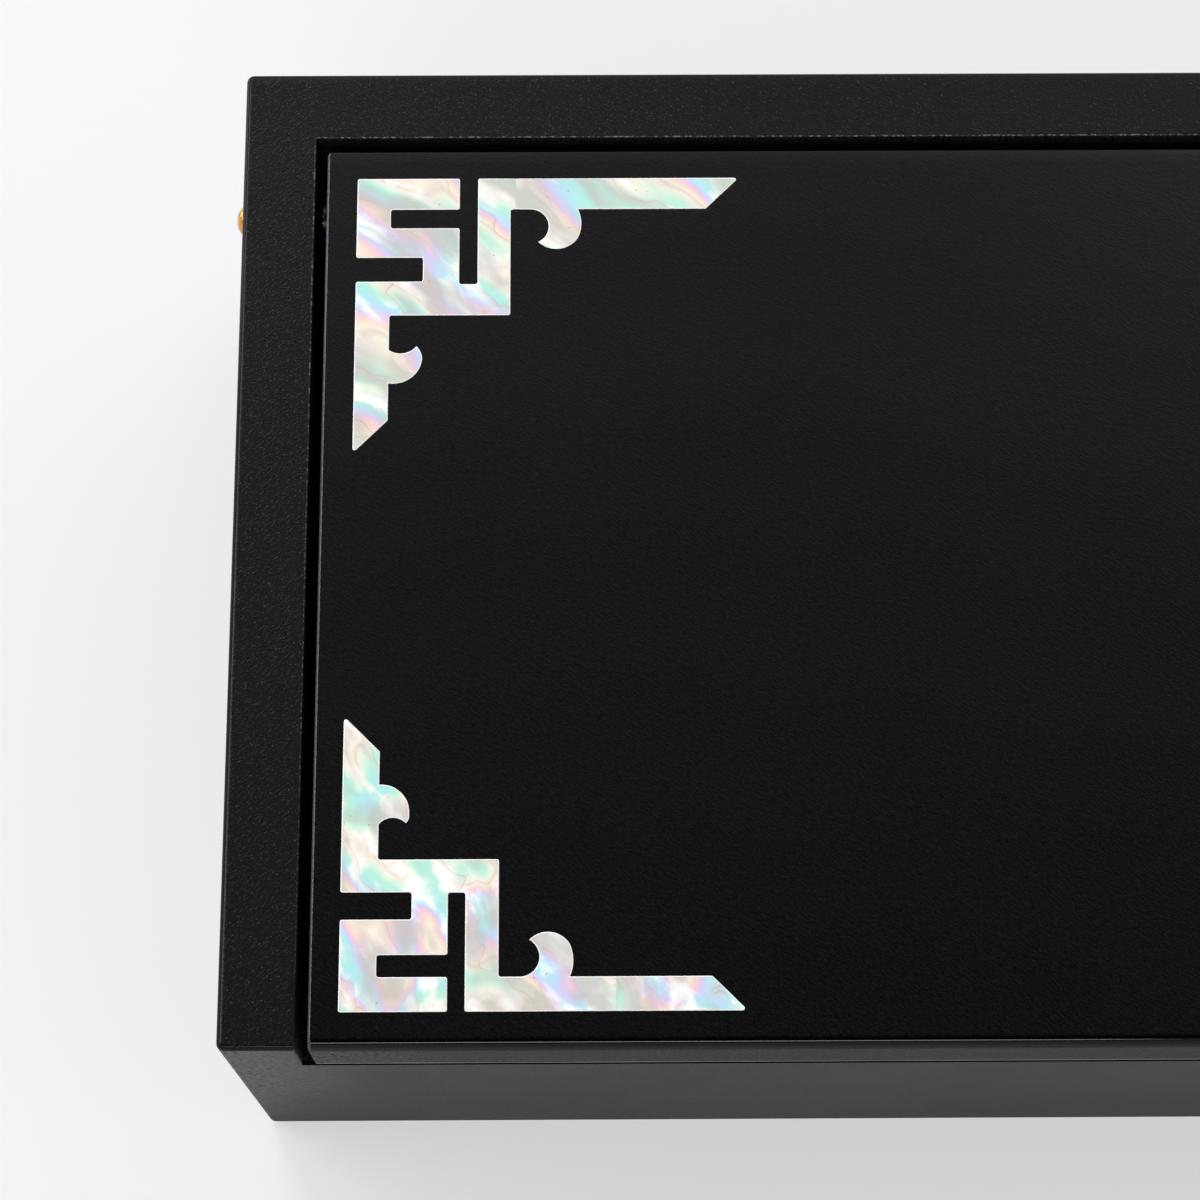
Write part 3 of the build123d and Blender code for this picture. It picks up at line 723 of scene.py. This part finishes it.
# Dull brass, painted darker as shade for the gap it sits in
brass_dull_and_shaded = brass("brass_bush_dull_and_shaded", "#1c1710", "#3d372a", "#6f6a5a", 0.42)
# Painted shade: near black, for the darkest side of the gap
brass_painted_shade = brass("brass_bush_painted_shade", "#040302", "#090705", "#120e09", 0.5)
velvet_cotton = velvet()
felt_wool = felt()
arris = shell_edge_and_highlight()

for node in ("side_left", "side_right"):
    coat(node, side_lacquer)
for node in ("back_wall", "front_wall", "base_panel"):
    coat(node, wall_lacquer)
coat("lid_panel", lid_lacquer)
for side in ("left", "right"):
    pivot_pin(side, brass_turned)
    coat(f"side_bush_{side}", brass_painted_shade)
    coat(f"lid_bush_{side}", brass_dull_and_shaded)

# Each fret was sawn from a place of its own on the oyster: turn in degrees, shift in mm, and then the
# growth of the shell there, which is patch, stretch, band and swirl. The arm comes from 3 mm further on
# than the key.
cuts = {
    ("back", "left"): (38, (-40, -35, 0), 8.5, 3.0, 17.0, 1.7),
    ("front", "left"): (62, (-33, 18, 0), 8.5, 1.6, 26.0, 2.3),
    ("back", "right"): (-35, (57, -8, 0), 8.5, 3.0, 17.0, 1.7),
    ("front", "right"): (-60, (-14, 43, 0), 8.5, 1.6, 26.0, 2.3),
}
for (end, side), (turn, shift, *growth) in cuts.items():
    arm_low, arm_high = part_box(f"shell_{end}_{side}_arm")
    seam_x = arm_low.x if side == "left" else arm_high.x
    for part, step in (("key", 0.0), ("arm", 3.0)):
        moved = (shift[0] + step, shift[1] + step, shift[2])
        pearl = mother_of_pearl(f"pearl_{end}_{side}_{part}", turn, moved, *growth)
        inlay(f"shell_{end}_{side}_{part}", pearl, arris, seam_x)

for node, face, body in (
    ("lining_back", (0, -1, 0), "box"), ("lining_front", (0, 1, 0), "box"), ("lining_left", (1, 0, 0), "box"),
    ("lining_right", (-1, 0, 0), "box"), ("lining_lid", (0, 0, -1), "lid"),
):
    pad = upholstered(
        node, node + "_velvet", face, 0.6 * MM, 0.25 * MM, 9 * MM, body, velvet_cotton,
    )
floor_pad = upholstered(
    "lining_floor", "lining_floor_velvet", (0, 0, 1), 1.3 * MM, 1.4 * MM, 7 * MM, "box",
    velvet_cotton,
)
sheet = upholstered(
    "base_felt", "base_felt_wool", (0, 0, -1), 0.3 * MM, 0.0, 12 * MM, "box", felt_wool,
)
for side in ("left", "right"):
    felt_disc(f"rest_pad_{side}", f"rest_pad_{side}_wool", felt_wool)


# Studio

def softbox(name, towards, width, height, radiance):
    """A soft lamp that faces the box from 4 m away; its strength is what a mirror would show of it."""
    distance = 4.0
    lamp = bpy.data.lights.new(name, "AREA")
    lamp.shape = "RECTANGLE"
    lamp.size, lamp.size_y = width, height
    lamp.energy = radiance * math.pi * width * height
    made = bpy.data.objects.new(name, lamp)
    bpy.context.scene.collection.objects.link(made)
    direction = Vector(towards).normalized()
    made.location = Vector((0, 0, top_z)) + direction * distance
    made.rotation_mode = "QUATERNION"
    made.rotation_quaternion = direction.to_track_quat("Z", "Y")
    made.visible_camera = False


def studio_world():
    """Pale walls all round under a dark ceiling, dark where the camera hangs, as the lid mirrors it."""
    world = bpy.data.worlds.new("studio")
    bpy.context.scene.world = world
    world.use_nodes = True
    tree = world.node_tree
    direction = add(tree, "ShaderNodeTexCoord", out="Generated")
    tilt = math.radians(17)
    facing = add(
        tree, "ShaderNodeVectorMath", {0: direction, 1: (0.03, -math.sin(tilt), math.cos(tilt))}, out="Value",
        operation="DOT_PRODUCT",
    )
    angle = add(tree, "ShaderNodeMath", {0: facing}, operation="ARCCOSINE")
    share = add(tree, "ShaderNodeMath", {0: angle, 1: math.radians(90)}, operation="DIVIDE")
    room = add(
        tree, "ShaderNodeValToRGB", {"Fac": share}, stops=[
            (0.0, "#232324"), (0.22, "#2c2c2e"), (0.29, "#4f4f52"), (0.36, "#77787c"), (0.43, "#9c9da2"),
            (0.48, "#d2d3d8"), (0.54, "#f4f4f7"), (1.0, "#eeeef1"),
        ],
    )
    background = tree.nodes["Background"]
    tree.links.new(room, background.inputs["Color"])
    background.inputs["Strength"].default_value = 1.0


def paper_floor():
    """White paper underfoot: half of what the camera and the gloss see is its own colour, the rest is lit and
    keeps the box's shadow."""
    radius = 12.0
    shape = bmesh.new()
    bmesh.ops.create_circle(shape, cap_ends=True, radius=radius, segments=96)
    mesh = as_mesh(shape, "floor")
    made = bpy.data.objects.new("floor", mesh)
    bpy.context.scene.collection.objects.link(made)
    finish, tree, shader = material("paper_floor", Roughness=0.9, Specular_IOR_Level=0.0)
    colour = linear("#f4f4f6")
    shader["Base Color"].default_value = colour
    rays = add(tree, "ShaderNodeLightPath").node.outputs
    seen = add(
        tree, "ShaderNodeMath", {0: rays["Is Camera Ray"], 1: rays["Is Glossy Ray"]}, operation="MAXIMUM",
    )
    seen = add(tree, "ShaderNodeMath", {0: seen, 1: rays["Is Transmission Ray"]}, operation="MAXIMUM")
    own = add(tree, "ShaderNodeMath", {0: seen, 1: 0.5}, operation="MULTIPLY")
    lit = tree.nodes["Principled BSDF"].outputs[0]
    glow = add(tree, "ShaderNodeEmission", {"Color": colour})
    blend = add(tree, "ShaderNodeMixShader", {0: own, 1: lit, 2: glow})
    tree.links.new(blend, tree.nodes["Material Output"].inputs["Surface"])
    mesh.materials.append(finish)


def camera():
    """Looks down on the left part of the box, leaning 17 degrees from straight down towards the front."""
    lens = bpy.data.cameras.new("camera")
    lens.sensor_width = 36.0
    lens.lens = 90.72
    lens.clip_start = 0.01
    made = bpy.data.objects.new("camera", lens)
    bpy.context.scene.collection.objects.link(made)
    lean, swing, roll = (math.radians(angle) for angle in (17.319, -0.839, 0.551))
    place = Vector((-80.92, -187.29, 658.79)) * MM
    turn = Matrix.Rotation(swing, 4, "Z") @ Matrix.Rotation(lean, 4, "X") @ Matrix.Rotation(roll, 4, "Z")
    made.matrix_world = Matrix.Translation(place) @ turn
    bpy.context.scene.camera = made


studio_world()
paper_floor()
camera()
softbox("key_back_left", (-0.32, 0.71, 0.62), 1.1, 1.1, 12.0)
softbox("strip_left", (-0.7, 0.25, 0.67), 2.0, 0.5, 12.0)
softbox("strip_front", (-0.12, -0.68, 0.73), 2.5, 0.31, 14.0)
softbox("window_left_low", (-0.82, 0.55, 0.15), 1.6, 0.8, 6.0)
softbox("fill_right_back", (0.4, 0.55, 0.73), 1.55, 1.2, 2.0)
bpy.context.scene.view_settings.view_transform = "Standard"
